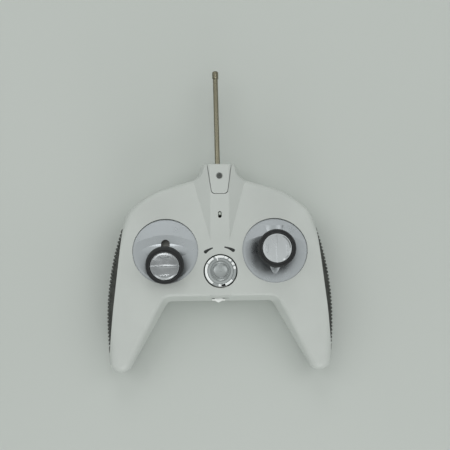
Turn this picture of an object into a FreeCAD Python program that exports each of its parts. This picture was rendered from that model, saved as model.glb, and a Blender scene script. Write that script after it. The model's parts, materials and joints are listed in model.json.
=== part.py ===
"""Hand-held radio transmitter: two thumb sticks, a trim dial, a power slide and a telescopic antenna.

The part lies on its flat back. X runs across it, Y runs from the grips to the antenna, Z points out
of its face. Millimetres. The exported origin is under the middle of its length and width.
"""
import FreeCAD, Part
import math
import os
import re

import Sketcher

V = FreeCAD.Vector
TURN = {
    "Z": FreeCAD.Rotation(),
    "X": FreeCAD.Rotation(V(0, 1, 0), 90),
    "Y": FreeCAD.Rotation(V(1, 0, 0), -90),
}

# ---------------------------------------------------------------- driving dimensions
SIZES = {
    # how far the middle of the whole length lies up from the middle of the stick plate
    "middle_y": 3.21,
    # the outline at the parting line: corner points of the right half, each with its rounding
    "neck_corner_x": 13.8, "neck_corner_y": 46.5, "neck_corner_round": 6.2,
    "flare_corner_x": 15.9, "flare_corner_y": 34.4, "flare_corner_round": 9,
    "shoulder_corner_x": 52.8, "shoulder_corner_y": 23.6, "shoulder_corner_round": 60,
    "side_top_x": 71.1, "side_top_y": 8.3, "side_top_round": 22,
    "side_corner_x": 89.3, "side_corner_y": -45, "side_corner_round": 210,
    "tip_outer_x": 83.4, "tip_outer_y": -113.4, "tip_outer_round": 8.6,
    "tip_inner_x": 69.9, "tip_inner_y": -113.4, "tip_inner_round": 8.6,
    "crotch_corner_x": 39.8, "crotch_corner_y": -60.4, "crotch_corner_round": 5,
    # levels of the two shells
    "parting": 19, "face": 36, "wall": 2.2,
    "front_draft": 12, "rear_draft": 9, "edge_round": 5, "ridge_round": 1.5, "rear_edge_round": 4.5,
    # the rim's rounding between the grips, down the grips, and where it starts and stops growing
    "crotch_edge_round": 2.2, "tip_edge_round": 6.5, "edge_change_y": -58, "edge_change_length": 27,
    "fold_y": -16, "fold_angle": 12, "fold_round": 12,
    "grip_fold_y": -68, "grip_fold_angle": 13, "grip_fold_round": 50,
    "back_fold_y": 14, "back_fold_angle": 15, "back_fold_round": 30,
    "back_grip_fold_y": -72, "back_grip_fold_angle": 7, "back_grip_fold_round": 60,
    "ridge_half": 7, "ridge_slope": 38,
    # rubber side grips
    "grip_top_x": 73.6, "grip_top_y": -5,
    "grip_mid_x": 78.4, "grip_mid_y": -50,
    "grip_low_x": 83.9, "grip_low_y": -98.5,
    "grip_floor": 4.5, "grip_ceiling": 37, "grip_backing": 1.8,
    "rib_pitch": 2.8, "rib_depth": 1.1, "rib_width": 1.6,
    # stick dishes
    "stick_x": 41.3, "stick_y": -23, "dish_radius": 24.2, "dish_hole_radius": 24.7,
    "dish_sink": 1.3, "dish_flange_radius": 26.4, "dish_floor": 28.9, "bowl_depth": 2.4,
    "bowl_radius": 22.5, "barrel_radius": 14.1, "barrel_wall": 1.2, "slot_half_width": 3.3,
    "slot_half_length": 8.8,
    # sticks and knobs, measured from the pivot
    "pivot_z": 20.1, "stick_tilt": 22, "axle_radius": 2, "hub_radius": 4,
    "hub_half": 10.4, "stem_radius": 2.2, "knob_radius": 14.1, "cap_radius": 11.0,
    "knob_floor": 27.6, "plate_top": 29.4, "knob_top": 33.7,
    # gimbal frames
    "frame_wall": 2, "frame_half_x": 13, "frame_half_y": 16, "frame_floor": 12, "frame_top": 28.7,
    "flange_half_x": 25, "flange_half_y": 22, "flange_thick": 1.6, "bearing_radius": 2.06,
    "boss_x": 22, "boss_y": 19, "boss_radius": 2.6, "pilot_radius": 0.9,
    "pot_depth": 7, "pot_width": 13, "pot_height": 14,
    # trim dial
    "dial_y": -38.5, "dial_radius": 12.1, "dial_hole_radius": 12.8, "dial_floor": 31.2,
    "dial_top": 36.5, "dial_bore": 5.5, "trim_shaft_radius": 1.5, "notch_count": 12,
    # light, towards one end of an oval window
    "light_y": 5.1, "light_radius": 1.1, "window_y": 4.3, "window_half_width": 1.35,
    "window_half_length": 2.6,
    # antenna cover
    "cover_half_top": 9, "cover_half_low": 5.8, "cover_low_y": 20.5, "cover_floor": 31.6,
    "cover_gap": 0.4, "cover_screw_y": 34,
    # antenna
    "antenna_start_x": -1, "antenna_start_y": 32, "antenna_start_z": 28.4, "antenna_pitch": 5,
    "antenna_lean": 0.6, "antenna_length": 81.5, "antenna_radius": 1.95, "antenna_wall": 0.32,
    "antenna_play": 0.04,
    "tip_radius": 2.45, "tip_length": 6, "socket_half_x": 5, "socket_half_y": 4.5, "socket_y": 34,
    "socket_floor": 24,
    # power slide
    "switch_x": -1.5, "switch_z": 27, "switch_width": 9.5, "switch_height": 3.2, "switch_travel": 3,
    "switch_proud": 1.6, "switch_pad": 1, "switch_ridge_width": 6, "switch_slot_width": 13.5,
    "switch_slot_height": 2.2,
    # battery bay, cells and door
    "bay_y": -20.5, "bay_half_x": 26.7, "bay_half_y": 29.2, "bay_wall": 1.2, "bay_top": 17.8,
    "cell_radius": 7.1, "cell_length": 50.5, "cell_pitch": 14.4, "cell_z": 9.9,
    "door_half_x": 26.1, "door_half_y": 28.6, "door_thick": 2, "door_gap": 0.4,
    "hinge_pin_radius": 0.6, "hinge_pin_reach": 1.4, "hinge_play": 0.05,
    # circuit board
    "board_half_x": 15.5, "board_y": -15, "board_half_y": 35, "board_z": 22.2, "board_thick": 1.6,
    "board_boss_x": 12, "board_boss_y": 31,
    # fasteners
    "screw_radius": 1.3, "screw_head_radius": 2.7, "screw_head": 1.8, "small_screw_radius": 0.9,
    "small_head_radius": 1.9, "small_head": 1.2, "post_radius": 3.4, "screw_seat": 13.2,
    "screw_length": 11.8, "cover_head_radius": 2.0, "post_x": 61.5, "post_y": 5.5, "grip_post_x": 72.5,
    "grip_post_y": -92,
}

doc = FreeCAD.newDocument("transmitter")
sheet = doc.addObject("Spreadsheet::Sheet", "sizes")
for row, (alias, number) in enumerate(SIZES.items(), start=1):
    sheet.set("A%d" % row, alias.replace("_", " "))
    sheet.set("B%d" % row, str(number))
    sheet.setAlias("B%d" % row, alias)
doc.recompute()

SUBPARTS = []


def size(alias):
    """The number that the sheet holds for an alias."""
    return float(sheet.get(alias))


# ---------------------------------------------------------------- how objects are bound to the sheet
def formula(text):
    """The same formula with each alias written as a cell of the sheet."""
    return re.sub(r"[a-z][a-z_]+", lambda word: "sizes." + word.group() if word.group() in SIZES
                  else word.group(), text)


def bind(thing, field, text):
    thing.setExpression(field, formula(text))


def place(thing, x, y, z, rotation=None):
    thing.Placement = FreeCAD.Placement(V(), rotation or FreeCAD.Rotation())
    bind(thing, "Placement.Base.x", x)
    bind(thing, "Placement.Base.y", y)
    bind(thing, "Placement.Base.z", z)
    return thing


def subpart(thing, label):
    thing.Label = label
    SUBPARTS.append(thing)
    return thing


# ---------------------------------------------------------------- primitives and booleans
def cylinder(name, radius, length, x="0", y="0", z="0", along="Z"):
    """A cylinder that starts at the given point and runs along one axis."""
    solid = doc.addObject("Part::Cylinder", name)
    bind(solid, "Radius", radius)
    bind(solid, "Height", length)
    return place(solid, x, y, z, TURN[along])


def box(name, half_x, half_y, floor, top, x="0", y="0"):
    """A box that is centred on a point of the plan, between two heights."""
    solid = doc.addObject("Part::Box", name)
    bind(solid, "Length", "2 * (%s)" % half_x)
    bind(solid, "Width", "2 * (%s)" % half_y)
    bind(solid, "Height", "(%s) - (%s)" % (top, floor))
    return place(solid, "(%s) - (%s)" % (x, half_x), "(%s) - (%s)" % (y, half_y), floor)


def joined(name, kind, things):
    if len(things) == 1:
        return things[0]
    group = doc.addObject(kind, name)
    group.Shapes = things
    return group


def fuse(name, *things):
    return joined(name, "Part::MultiFuse", list(things))


def common(name, *things):
    return joined(name, "Part::MultiCommon", list(things))


def cut(name, base, *tools):
    solid = doc.addObject("Part::Cut", name)
    solid.Base = base
    solid.Tool = joined(name + "_tools", "Part::MultiFuse", list(tools))
    return solid


def compound(name, *things):
    group = doc.addObject("Part::Compound", name)
    group.Links = list(things)
    return group


# ---------------------------------------------------------------- sketches
def rounded_edges(corners):
    """Lines and tangent arcs of a closed outline, from (x, y, rounding) corners."""
    bends = []
    for number, (x, y, rounding) in enumerate(corners):
        corner = V(x, y, 0)
        before = (V(*corners[number - 1][:2], 0) - corner).normalize()
        after = (V(*corners[(number + 1) % len(corners)][:2], 0) - corner).normalize()
        half = before.getAngle(after) / 2
        reach = rounding / math.tan(half)
        middle = corner + (before + after).normalize() * (rounding / math.sin(half) - rounding)
        bends.append((corner + before * reach, middle, corner + after * reach))
    edges = []
    for number, (start, middle, end) in enumerate(bends):
        if (end - start).Length > 1e-6:
            edges.append(Part.Arc(start, middle, end))
        following = bends[(number + 1) % len(bends)][0]
        if (following - end).Length > 1e-6:
            edges.append(Part.LineSegment(end, following))
    return edges


def inset_corners(corners, distance):
    """The same clockwise outline moved inwards, with its roundings concentric."""
    moved = []
    for number, (x, y, rounding) in enumerate(corners):
        corner = V(x, y, 0)
        before = (corner - V(*corners[number - 1][:2], 0)).normalize()
        after = (V(*corners[(number + 1) % len(corners)][:2], 0) - corner).normalize()
        inwards = V(before.y + after.y, -before.x - after.x, 0).normalize()
        reach = distance / math.cos(before.getAngle(after) / 2)
        convex = before.cross(after).z < 0
        spot = corner + inwards * reach
        moved.append((spot.x, spot.y, rounding - distance if convex else rounding + distance))
    return moved


def outline_sketch(name, corners, rotation=None, base=None):
    sketch = doc.addObject("Sketcher::SketchObject", name)
    sketch.addGeometry(rounded_edges(corners), False)
    sketch.Placement = FreeCAD.Placement(base or V(), rotation or FreeCAD.Rotation())
    return sketch


def extruded(name, profile, direction, length, taper=None):
    solid = doc.addObject("Part::Extrusion", name)
    solid.Base = profile
    solid.DirMode = "Custom"
    solid.Dir = direction
    solid.Solid = True
    bind(solid, "LengthFwd", length)
    if taper:
        bind(solid, "TaperAngle", taper)
    return solid


def axis_plane(body, role):
    return [plane for plane in body.Origin.OriginFeatures if plane.Role == role][0]


def body_sketch(body, name, role):
    sketch = body.newObject("Sketcher::SketchObject", name)
    sketch.AttachmentSupport = [(axis_plane(body, role), "")]
    sketch.MapMode = "FlatFace"
    return sketch


def polygon(sketch, points):
    """A closed polygon whose corners each follow two formulas."""
    count = len(points)
    for number in range(count):
        here = 2 * math.pi * number / count
        there = 2 * math.pi * (number + 1) / count
        start = V(20 + 5 * math.cos(here), 20 + 5 * math.sin(here), 0)
        end = V(20 + 5 * math.cos(there), 20 + 5 * math.sin(there), 0)
        sketch.addGeometry(Part.LineSegment(start, end), False)
    for number in range(count):
        sketch.addConstraint(Sketcher.Constraint("Coincident", number, 2, (number + 1) % count, 1))
    for number, point in enumerate(points):
        for text, across, axis in zip(point, ("DistanceX", "DistanceY"), (-2, -1)):
            if text == "0":
                sketch.addConstraint(Sketcher.Constraint("PointOnObject", number, 1, axis))
                continue
            index = sketch.addConstraint(Sketcher.Constraint(across, -1, 1, number, 1, 20))
            bind(sketch, "Constraints[%d]" % index, text)


def turned(label, profile, name=None):
    """A body of revolution about Z from a polygon of (radius, height) formulas."""
    body = doc.addObject("PartDesign::Body", name or label)
    sketch = body_sketch(body, (name or label) + "_profile", "XZ_Plane")
    polygon(sketch, profile)
    feature = body.newObject("PartDesign::Revolution", (name or label) + "_turn")
    feature.Profile = sketch
    feature.ReferenceAxis = (sketch, ["V_Axis"])
    feature.Angle = 360
    body.Tip = feature
    sketch.Visibility = False
    return body


def padded(name, points, length, role="XY_Plane"):
    """A body padded from a polygon on one of its own planes."""
    body = doc.addObject("PartDesign::Body", name)
    sketch = body_sketch(body, name + "_profile", role)
    polygon(sketch, points)
    feature = body.newObject("PartDesign::Pad", name + "_pad")
    feature.Profile = sketch
    bind(feature, "Length", length)
    body.Tip = feature
    sketch.Visibility = False
    return body


# ---------------------------------------------------------------- the shells' common outline
CORNERS = ["neck_corner", "flare_corner", "shoulder_corner", "side_top", "side_corner", "tip_outer",
           "tip_inner", "crotch_corner"]


def housing_corners():
    right = [(size(name + "_x"), size(name + "_y"), size(name + "_round")) for name in CORNERS]
    left = [(-x, y, rounding) for x, y, rounding in reversed(right)]
    return right + left


def slope(angle, run):
    return run * math.tan(math.radians(size(angle)))


FAR = 130
SIDE_VIEW = FreeCAD.Rotation(V(1, 1, 1), 120)
END_VIEW = FreeCAD.Rotation(V(1, 0, 0), 90)


def face_corners():
    """Side view of the face: grips sloping down, a flat middle and shoulders sloping down."""
    low = size("parting") - 4
    tips = size("face") - slope("grip_fold_angle", FAR + size("grip_fold_y"))
    neck = size("face") - slope("fold_angle", FAR / 2 - size("fold_y"))
    return [(-FAR, low, 0.1), (-FAR, tips, 0.1),
            (size("grip_fold_y"), size("face"), size("grip_fold_round")),
            (size("fold_y"), size("face"), size("fold_round")),
            (FAR / 2, neck, 0.1), (FAR / 2, low, 0.1)]


def back_corners():
    """Side view of the back: a flat base, with the grips and the neck rising from it."""
    high = size("parting") + 4
    tips = slope("back_grip_fold_angle", FAR + size("back_grip_fold_y"))
    neck = slope("back_fold_angle", FAR / 2 - size("back_fold_y"))
    return [(-FAR, high, 0.1), (-FAR, tips, 0.1),
            (size("back_grip_fold_y"), 0, size("back_grip_fold_round")),
            (size("back_fold_y"), 0, size("back_fold_round")),
            (FAR / 2, neck, 0.1), (FAR / 2, high, 0.1)]


def side_solid(name, corners, lift):
    """A side view carried across the whole width, lifted by a formula."""
    sketch = outline_sketch(name + "_view", corners, SIDE_VIEW, V(-FAR, 0, 0))
    bind(sketch, "Placement.Base.z", lift)
    return extruded(name, sketch, V(1, 0, 0), str(2 * FAR))


def ridge_solid(name, lift):
    """The raised ridge from the middle of the face to the end of the neck."""
    low = size("parting") - 4
    half = size("ridge_half")
    foot = half + (size("face") - low) / math.tan(math.radians(size("ridge_slope")))
    corners = [(-foot, low, 0.1), (-half, size("face"), 1.5), (half, size("face"), 1.5),
               (foot, low, 0.1)]
    sketch = outline_sketch(name + "_view", corners, END_VIEW, V(0, FAR / 2, 0))
    bind(sketch, "Placement.Base.z", lift)
    return extruded(name, sketch, V(0, -1, 0), str(FAR))


outline = outline_sketch("housing_outline", housing_corners())
bind(outline, "Placement.Base.z", "parting")
inner_outline = outline_sketch("cavity_outline", inset_corners(housing_corners(), size("wall")))
bind(inner_outline, "Placement.Base.z", "parting")


def is_wall(face):
    """Whether a face is one of the drafted walls, by its normal at the middle."""
    u_low, u_high, v_low, v_high = face.ParameterRange
    return abs(face.normalAt((u_low + u_high) / 2, (v_low + v_high) / 2).z) < 0.45


def rim_edges(shape, keep):
    """Numbers of the edges between a drafted wall and a broad face, where a test holds."""
    owners = {}
    for face in shape.Faces:
        for edge in face.Edges:
            owners.setdefault(edge.hashCode(), []).append(is_wall(face))
    chosen = []
    for number, edge in enumerate(shape.Edges, start=1):
        sides = owners[edge.hashCode()]
        middle = edge.valueAt((edge.FirstParameter + edge.LastParameter) / 2)
        if sorted(sides) == [False, True] and keep(middle):
            chosen.append(number)
    return chosen


def face_rim_radius(point):
    """Rounding of the face's rim: tight between the grips and soft down to their tips."""
    below = size("edge_change_y") - point.y
    grown = min(max(below / size("edge_change_length"), 0), 1)
    middle = 0.75 * size("tip_outer_x") + below / 4
    inner = below > -8 and abs(point.x) < middle
    start = size("crotch_edge_round") if inner else size("edge_round")
    return start + grown * (size("tip_edge_round") - start)


def rounded_rim(name, base, radius_at, keep):
    """The blank with its rim rounded by a radius that may change along it."""
    doc.recompute()
    feature = doc.addObject("Part::Fillet", name)
    feature.Base = base
    rim = []
    for number in rim_edges(base.Shape, keep):
        edge = base.Shape.Edges[number - 1]
        ends = [radius_at(edge.valueAt(end)) for end in (edge.FirstParameter, edge.LastParameter)]
        rim.append((number, ends[0], ends[1]))
    feature.Edges = rim
    return feature


def above_parting(point):
    return point.z > size("parting") + 1


def below_parting(point):
    return point.z < size("parting") - 1


def on_neck(point):
    return point.z > size("parting") + 1 and point.y > size("flare_corner_y") - 3


def walls_up(name, profile):
    return extruded(name, profile, V(0, 0, 1), "face - parting + 1", "-front_draft")


def walls_down(name, profile):
    return extruded(name, profile, V(0, 0, -1), "parting + 2", "-rear_draft")


# ---------------------------------------------------------------- outer blanks and hollows
def make_blanks():
    """The solid outer forms of both shells and of the hollow inside them."""
    broad = common("face_broad", walls_up("face_walls", outline),
                   side_solid("face_side", face_corners(), "0"))
    ridge = common("face_ridge", walls_up("ridge_walls", outline), ridge_solid("ridge", "0"))
    face = fuse("face_blank", rounded_rim("face_rounded", broad, face_rim_radius, above_parting),
                rounded_rim("ridge_rounded", ridge, lambda point: size("ridge_round"), on_neck))
    hollow_top = fuse("hollow_top", side_solid("hollow_side", face_corners(), "-wall"),
                      ridge_solid("hollow_ridge", "-wall"))
    face_hollow = common("face_hollow", walls_up("hollow_walls", inner_outline), hollow_top)
    back = common("back_broad", walls_down("back_walls", outline),
                  side_solid("back_side", back_corners(), "0"))
    back = rounded_rim("back_blank", back, lambda point: size("rear_edge_round"), below_parting)
    back_hollow = common("back_hollow", walls_down("back_hollow_walls", inner_outline),
                         side_solid("back_hollow_side", back_corners(), "wall"))
    return face, face_hollow, back, back_hollow


face_blank, face_hollow, back_blank, back_hollow = make_blanks()


# ---------------------------------------------------------------- side grips
def grip_region(name, sign, grow):
    """Everything outside the curved inner line of a side grip, moved inwards by grow."""
    line = Part.Arc(V(sign * (size("grip_top_x") - grow), size("grip_top_y") + 3 * grow, 0),
                    V(sign * (size("grip_mid_x") - grow), size("grip_mid_y"), 0),
                    V(sign * (size("grip_low_x") - grow), size("grip_low_y") - 3 * grow, 0))
    start, end = line.StartPoint, line.EndPoint
    outside = V(sign * FAR, start.y, 0)
    corner = V(sign * FAR, end.y, 0)
    sketch = doc.addObject("Sketcher::SketchObject", name + "_line")
    sketch.addGeometry([line, Part.LineSegment(end, corner), Part.LineSegment(corner, outside),
                        Part.LineSegment(outside, start)], False)
    bind(sketch, "Placement.Base.z", "grip_floor - %g" % grow)
    return extruded(name, sketch, V(0, 0, 1), "grip_ceiling - grip_floor + %g" % (2 * grow))


def rib_grooves(name, sign):
    """V grooves one rib pitch apart that lean with both drafted walls and fade out in the rim."""
    curves = [edge.toShape().Curve for edge in rounded_edges(housing_corners())]
    side = [curve for curve in curves if curve.TypeId == "Part::GeomCircle"
            and abs(curve.Radius - size("side_corner_round")) < 0.5][0]
    centre = V(-abs(side.Center.x), side.Center.y, 0)
    radius = side.Radius
    step = size("rib_pitch") / radius
    first = math.asin((size("grip_top_y") - centre.y) / radius)
    count = int((size("grip_top_y") - size("grip_low_y")) / size("rib_pitch"))
    half = size("rib_width") / 2
    grooves = []
    for number in range(1, count):
        angle = first - number * step
        out = V(math.cos(angle), math.sin(angle), 0)
        along = V(-out.y, out.x, 0)
        tip = centre + out * (radius - size("rib_depth"))
        rim = centre + out * (radius + 1.5)
        spread = half * (1.5 + size("rib_depth")) / size("rib_depth")
        points = [tip, rim + along * spread, rim - along * spread, tip]
        points = [V(sign * point.x, point.y, size("parting")) for point in points]
        section = Part.Face(Part.makePolygon(points))
        for rise, draft in ((size("grip_ceiling") - size("parting"), size("front_draft")),
                            (size("grip_floor") - size("parting"), size("rear_draft"))):
            lean = abs(rise) * math.tan(math.radians(draft))
            grooves.append(section.extrude(V(-sign * out.x * lean, -out.y * lean, rise)))
    feature = doc.addObject("Part::Feature", name)
    feature.Shape = Part.makeCompound(grooves)
    return feature


def make_side_grips():
    housing = fuse("whole_blank", face_blank, back_blank)
    backing = {}
    for side, sign in (("left", -1), ("right", 1)):
        region = grip_region(side + "_grip_region", sign, 0)
        backing[side] = grip_region(side + "_grip_backing", sign, size("grip_backing"))
        solid = common(side + "_grip_blank", housing, region)
        subpart(cut(side + "_grip", solid, rib_grooves(side + "_ribs", sign)), side + "_side_grip")
        backing[side + "_region"] = region
    return backing


grip_shapes = make_side_grips()


# ---------------------------------------------------------------- places that repeat
STICKS = {"left": ("-stick_x", -1), "right": ("stick_x", 1)}
HOUSING_POSTS = [("-post_x", "post_y"), ("post_x", "post_y"), ("-grip_post_x", "grip_post_y"),
                 ("grip_post_x", "grip_post_y")]
NECK_POST = [("0", "socket_y")]
BOARD_POSTS = [("-board_boss_x", "board_y - board_boss_y"), ("board_boss_x", "board_y - board_boss_y"),
               ("-board_boss_x", "board_y + board_boss_y"), ("board_boss_x", "board_y + board_boss_y")]


def gimbal_posts(x):
    """Plan points of a gimbal frame's four screws."""
    return [("%s + %d * boss_x" % (x, across), "stick_y + %d * boss_y" % along)
            for across in (-1, 1) for along in (-1, 1)]


ALL_GIMBAL_POSTS = gimbal_posts("-stick_x") + gimbal_posts("stick_x")


def cylinders(name, points, radius, floor, top):
    """Equal upright cylinders, one at each plan point."""
    return [cylinder("%s_%d" % (name, number), radius, "(%s) - (%s)" % (top, floor), x, y, floor)
            for number, (x, y) in enumerate(points)]


# ---------------------------------------------------------------- antenna axis
def antenna_direction():
    lean = math.radians(size("antenna_lean"))
    pitch = math.radians(size("antenna_pitch"))
    return V(-math.sin(lean) * math.cos(pitch), math.cos(lean) * math.cos(pitch), -math.sin(pitch))


def on_antenna(thing, start):
    """Place a thing built about Z so that it runs along the antenna, from a distance."""
    direction = antenna_direction()
    root = V(size("antenna_start_x"), size("antenna_start_y"), size("antenna_start_z"))
    base = root + direction * start
    thing.Placement = FreeCAD.Placement(base, FreeCAD.Rotation(V(0, 0, 1), direction))
    return thing


def antenna_rod(name, radius, length, start):
    rod = doc.addObject("Part::Cylinder", name)
    bind(rod, "Radius", radius)
    bind(rod, "Height", length)
    return on_antenna(rod, start)


# ---------------------------------------------------------------- front shell
def cover_corners(gap):
    """Plan of the antenna cover, wide at the neck's end and narrow towards the face."""
    top = size("cover_half_top") + gap
    low = size("cover_half_low") + gap
    foot = size("cover_low_y") - gap
    return [(top, FAR / 2, 0.1), (top, size("neck_corner_y") - 4, 4), (low, foot, 3),
            (-low, foot, 3), (-top, size("neck_corner_y") - 4, 4), (-top, FAR / 2, 0.1)]


def cover_plan(name, gap):
    sketch = outline_sketch(name + "_plan", cover_corners(gap))
    bind(sketch, "Placement.Base.z", "cover_floor - 1")
    return extruded(name, sketch, V(0, 0, 1), "20")


def make_front_shell():
    hollow = cut("front_hollow", face_hollow, grip_shapes["left"], grip_shapes["right"])
    walls = cut("front_walls", face_blank, hollow)
    bosses = cylinders("front_post", HOUSING_POSTS, "post_radius", "parting", "face - 1")
    bosses += cylinders("board_post", BOARD_POSTS, "boss_radius", "board_z + board_thick", "face - 1")
    bosses += cylinders("gimbal_post", ALL_GIMBAL_POSTS, "boss_radius", "frame_top", "face - 1")
    inside = common("front_posts_inside", face_blank, fuse("front_posts", *bosses))
    solid = fuse("front_solid", walls, inside)
    openings = [grip_shapes["left_region"], grip_shapes["right_region"]]
    openings.append(cover_plan("cover_opening", size("cover_gap")))
    openings += cylinders("dish_opening", [(x, "stick_y") for x, sign in STICKS.values()],
                          "dish_hole_radius", "dish_floor - 0.2", "face + 1")
    openings.append(cylinder("dial_opening", "dial_hole_radius", "9", y="dial_y", z="face - 6"))
    straight = "window_half_length - window_half_width"
    openings.append(box("window_middle", "window_half_width", straight, "face - 6", "face + 3",
                        y="window_y"))
    openings += cylinders("window_end", [("0", "window_y - (%s)" % straight),
                                         ("0", "window_y + (%s)" % straight)],
                          "window_half_width", "face - 6", "face + 3")
    openings.append(antenna_rod("antenna_opening", "antenna_radius + 0.3", "30", 4))
    openings.append(box("switch_opening", "switch_slot_width / 2", "4",
                        "switch_z - switch_slot_height / 2", "switch_z + switch_slot_height / 2",
                        "switch_x + switch_travel / 2", "crotch_corner_y + 1.5"))
    openings += cylinders("front_pilot", HOUSING_POSTS, "screw_radius", "parting - 1", "parting + 8.5")
    openings += cylinders("board_pilot", BOARD_POSTS, "pilot_radius", "board_z", "board_z + 7")
    openings += cylinders("gimbal_pilot", ALL_GIMBAL_POSTS, "pilot_radius", "frame_top - 1",
                          "frame_top + 2.6")
    subpart(cut("front_shell", solid, *openings), "front_shell")


# ---------------------------------------------------------------- rear shell
HINGE_Y = "bay_y + door_half_y - door_gap - door_thick / 2"


def make_rear_shell():
    hollow = cut("rear_hollow", back_hollow, grip_shapes["left"], grip_shapes["right"])
    walls = cut("rear_walls", back_blank, hollow)
    posts = cylinders("rear_post", HOUSING_POSTS, "post_radius + 0.4", "0", "parting")
    neck = cylinder("rear_neck_post", "post_radius + 0.4", "socket_floor - 4", y="socket_y", z="4")
    posts.append(box("bay_outside", "bay_half_x + bay_wall", "bay_half_y + bay_wall", "0",
                     "bay_top + bay_wall", y="bay_y"))
    inside = common("rear_posts", back_blank, fuse("rear_inside", *posts))
    neck = cut("rear_neck_trimmed", neck, cut("below_back", box("below_back_block", "6", "12", "-5",
                                                                "parting", y="socket_y"), back_blank))
    solid = fuse("rear_solid", walls, inside, neck)
    openings = [grip_shapes["left_region"], grip_shapes["right_region"]]
    openings.append(box("bay_inside", "bay_half_x", "bay_half_y", "door_thick", "bay_top", y="bay_y"))
    openings.append(box("door_opening", "door_half_x", "door_half_y", "-1", "door_thick + 1",
                        y="bay_y"))
    reach = "door_half_x + hinge_pin_reach + 0.3"
    openings.append(cylinder("hinge_bore", "hinge_pin_radius + hinge_play", "2 * (%s)" % reach,
                             "-(%s)" % reach, HINGE_Y, "door_thick / 2", "X"))
    openings += cylinders("rear_screw_hole", HOUSING_POSTS + NECK_POST, "screw_radius + 0.2", "-1",
                          "socket_floor + 1")
    openings += cylinders("rear_screw_recess", HOUSING_POSTS + NECK_POST, "screw_head_radius + 0.25",
                          "-1", "screw_seat")
    subpart(cut("rear_shell", solid, *openings), "rear_shell")


# ---------------------------------------------------------------- antenna cover and its screw
def make_antenna_cover():
    plate = common("cover_blank", face_blank, cover_plan("cover_prism", 0))
    below = box("cover_underside", "30", "60", "0", "cover_floor")
    trimmed = cut("cover_trimmed", plate, below)
    recess = cylinder("cover_recess", "cover_head_radius + 0.5", "6", y="cover_screw_y",
                      z="face - 1.1")
    hole = cylinder("cover_hole", "small_screw_radius", "20", y="cover_screw_y", z="face - 12")
    subpart(cut("antenna_cover", trimmed, recess, hole), "antenna_cover")


def cross_screw(name, x, y, seat, length, shank, head_radius, head, upward=False):
    """A pan-head screw with a cross recess; its head rests on seat and faces up or down."""
    way = "" if upward else "-"
    floor = seat if upward else "(%s) - (%s)" % (seat, head)
    disc = cylinder(name + "_head", head_radius, head, x, y, floor)
    foot = "(%s) - (%s)" % (seat, length) if upward else seat
    rod = cylinder(name + "_shank", shank, length, x, y, foot)
    solid = fuse(name + "_blank", disc, rod)
    outer = "(%s) + %s(%s)" % (seat, way, head)
    low = "%s - 0.7" % outer
    high = "%s + 0.7" % outer
    long_half = "0.65 * (%s)" % head_radius
    slots = [box(name + "_slot_x", long_half, "0.28", low, high, x, y),
             box(name + "_slot_y", "0.28", long_half, low, high, x, y)]
    return cut(name, solid, *slots)


def make_screws():
    subpart(cross_screw("cover_screw", "0", "cover_screw_y", "face - 1.1", "4.2", "small_screw_radius",
                        "cover_head_radius", "0.9", upward=True), "antenna_cover_screw")
    housing = [cross_screw("housing_screw_%d" % number, x, y, "screw_seat", "screw_length",
                           "screw_radius", "screw_head_radius", "screw_head")
               for number, (x, y) in enumerate(HOUSING_POSTS + NECK_POST)]
    subpart(compound("housing_screw_set", *housing), "housing_screws")
    board = [cross_screw("board_screw_%d" % number, x, y, "board_z", "7", "pilot_radius",
                         "small_head_radius", "small_head")
             for number, (x, y) in enumerate(BOARD_POSTS)]
    subpart(compound("board_screw_set", *board), "board_screws")
    for side, (x, sign) in STICKS.items():
        gimbal = [cross_screw("%s_gimbal_screw_%d" % (side, number), px, py,
                              "frame_top - flange_thick", "4", "pilot_radius", "small_head_radius",
                              "small_head")
                  for number, (px, py) in enumerate(gimbal_posts(x))]
        subpart(compound(side + "_gimbal_screw_set", *gimbal), side + "_gimbal_screws")


# ---------------------------------------------------------------- stick dishes
def make_dish(side, x, along):
    """A metallic dish that follows the face, with a bowl, a pivot barrel and a slot across it."""
    disc = common(side + "_disc",
                  cylinder(side + "_disc_round", "dish_radius", "12", x, "stick_y", "dish_floor"),
                  side_solid(side + "_disc_side", face_corners(), "-dish_sink"))
    flange = common(side + "_flange",
                    cylinder(side + "_flange_round", "dish_flange_radius", "12", x, "stick_y",
                             "dish_floor"),
                    side_solid(side + "_flange_side", face_corners(), "-wall - 0.05"))
    bowl = doc.addObject("Part::Cone", side + "_bowl")
    bind(bowl, "Radius1", "0")
    bind(bowl, "Radius2", "bowl_radius * 2")
    bind(bowl, "Height", "bowl_depth * 2")
    place(bowl, x, "stick_y", "face - dish_sink - bowl_depth")
    underside = cylinder(side + "_underside", "dish_radius - 2.6", "1.7", x, "stick_y",
                         "dish_floor - 0.1")
    plate = cut(side + "_plate", fuse(side + "_dish_blank", disc, flange), bowl, underside)
    start_x, start_y = ("%s - 19" % x, "stick_y") if along == "X" else (x, "stick_y - 19")
    barrel = common(side + "_barrel",
                    cylinder(side + "_barrel_round", "barrel_radius", "38", start_x, start_y,
                             "pivot_z", along),
                    cylinder(side + "_barrel_plan", "dish_radius - 1.5", "12", x, "stick_y",
                             "dish_floor + 1.6"))
    solid = fuse(side + "_dish_solid", plate, barrel)
    inside = cylinder(side + "_barrel_inside", "barrel_radius - barrel_wall", "30",
                      start_x.replace("19", "15"), start_y.replace("19", "15"), "pivot_z", along)
    half_x, half_y = ("slot_half_width", "slot_half_length - slot_half_width")
    ends = [(x, "stick_y %s (slot_half_length - slot_half_width)" % way) for way in "+-"]
    if along == "Y":
        half_x, half_y = half_y, half_x
        ends = [("%s %s (slot_half_length - slot_half_width)" % (x, way), "stick_y") for way in "+-"]
    slot = [box(side + "_slot", half_x, half_y, "dish_floor - 1", "face + 1", x, "stick_y")]
    slot += cylinders(side + "_slot_end", ends, "slot_half_width", "dish_floor - 1", "face + 1")
    subpart(cut(side + "_dish", solid, inside, *slot), side + "_stick_dish")


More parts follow.
